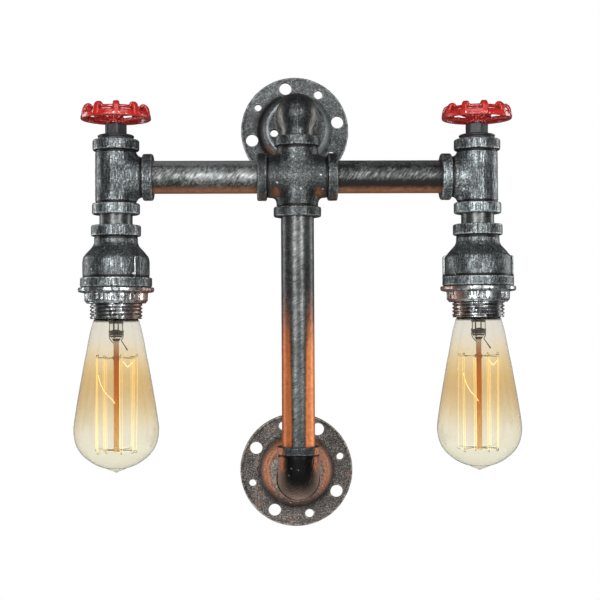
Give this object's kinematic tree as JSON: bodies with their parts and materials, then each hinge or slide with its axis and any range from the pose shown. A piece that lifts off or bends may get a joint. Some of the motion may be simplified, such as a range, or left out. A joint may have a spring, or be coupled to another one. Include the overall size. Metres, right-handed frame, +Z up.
{
  "type": "industrial pipe wall light",
  "caption": "Wall light built from pipe fittings: wall flanges, a riser, a cross arm, tees with red handwheels, and hanging screw lampholders with teardrop filament bulbs.",
  "frame": {"origin": "centre of the upper wall flange's back face, on the wall plane", "axes": "+Y into the wall, along the upper flange's axis; +Z up, along the riser pipe; +X to the right of a person facing the light"},
  "size_m": [0.335, 0.1197, 0.3649],
  "materials": {
    "pipe": "black pipe dry-brushed with antique silver, copper tint underneath",
    "fitting": "black cast iron dry-brushed with antique silver",
    "flange": "dark cast iron, rubbed silver, rusty by the hub",
    "black_iron": "satin black",
    "wheel_enamel": "gloss red enamel",
    "chrome_ring": "worn bright plating",
    "chrome_thread": "bright plating, dark in the thread",
    "ceramic_insert": "matt white ceramic",
    "brass_shell": "plain brass",
    "zinc_steel": "zinc plated",
    "block_plastic": "natural nylon",
    "live_sleeve": "brown sleeve",
    "neutral_sleeve": "blue sleeve",
    "amber_glass": "amber tinted clear glass",
    "clear_glass": "clear glass",
    "cap_glass": "black vitrified glass insulator",
    "cap_metal": "bright plated cap",
    "support_wire": "dark drawn wire",
    "filament": "warm coloured filament wire"
  },
  "bodies": {
    "wall_frame": {"upper_wall_flange": "flange", "lower_wall_flange": "flange", "upper_flange_nipple": "pipe", "lower_flange_nipple": "pipe", "upper_street_elbow": "fitting", "lower_elbow": "fitting", "pipe_cross": "fitting", "riser_pipe": "pipe", "left_arm_pipe": "pipe", "left_tee": "fitting", "left_bonnet": "black_iron", "left_tee_nipple": "pipe", "left_reducer": "fitting", "left_holder_shell": "chrome_thread", "left_holder_insulator": "ceramic_insert", "left_socket_thread": "brass_shell", "left_centre_contact": "brass_shell", "left_shade_ring": "chrome_ring", "left_live_wire": "live_sleeve", "left_neutral_wire": "neutral_sleeve", "right_arm_pipe": "pipe", "right_tee": "fitting", "right_bonnet": "black_iron", "right_tee_nipple": "pipe", "right_reducer": "fitting", "right_holder_shell": "chrome_thread", "right_holder_insulator": "ceramic_insert", "right_socket_thread": "brass_shell", "right_centre_contact": "brass_shell", "right_shade_ring": "chrome_ring", "right_live_wire": "live_sleeve", "right_neutral_wire": "neutral_sleeve", "fixing_tubes": "zinc_steel", "fixing_washers": "zinc_steel", "fixing_nuts": "zinc_steel", "holder_terminal_screws": "zinc_steel", "terminal_block": "block_plastic", "terminal_block_screws": "zinc_steel", "earth_screw": "zinc_steel"},
    "left_wheel": {"left_handwheel": "wheel_enamel", "left_stem": "zinc_steel", "left_wheel_nut": "zinc_steel"},
    "left_bulb": {"left_bulb_glass": "amber_glass", "left_bulb_cap": "cap_metal", "left_bulb_cap_insulator": "cap_glass", "left_bulb_tip_contact": "cap_metal", "left_bulb_mount": "clear_glass", "left_bulb_supports": "support_wire", "left_bulb_filament": "filament"},
    "right_wheel": {"right_handwheel": "wheel_enamel", "right_stem": "zinc_steel", "right_wheel_nut": "zinc_steel"},
    "right_bulb": {"right_bulb_glass": "amber_glass", "right_bulb_cap": "cap_metal", "right_bulb_cap_insulator": "cap_glass", "right_bulb_tip_contact": "cap_metal", "right_bulb_mount": "clear_glass", "right_bulb_supports": "support_wire", "right_bulb_filament": "filament"}
  },
  "joints": [
    {"name": "left_wheel_turn", "type": "hinge", "parent": "wall_frame", "child": "left_wheel", "pos_m": [-0.13575, -0.088, 0], "axis": [0, 0, 1], "continuous": true},
    {"name": "left_bulb_withdraw", "type": "slide", "parent": "wall_frame", "child": "left_bulb", "axis": [0, 0, -1], "range_m": [0, 0.03]},
    {"name": "right_wheel_turn", "type": "hinge", "parent": "wall_frame", "child": "right_wheel", "pos_m": [0.13575, -0.088, 0], "axis": [0, 0, 1], "continuous": true},
    {"name": "right_bulb_withdraw", "type": "slide", "parent": "wall_frame", "child": "right_bulb", "axis": [0, 0, -1], "range_m": [0, 0.03]}
  ]
}
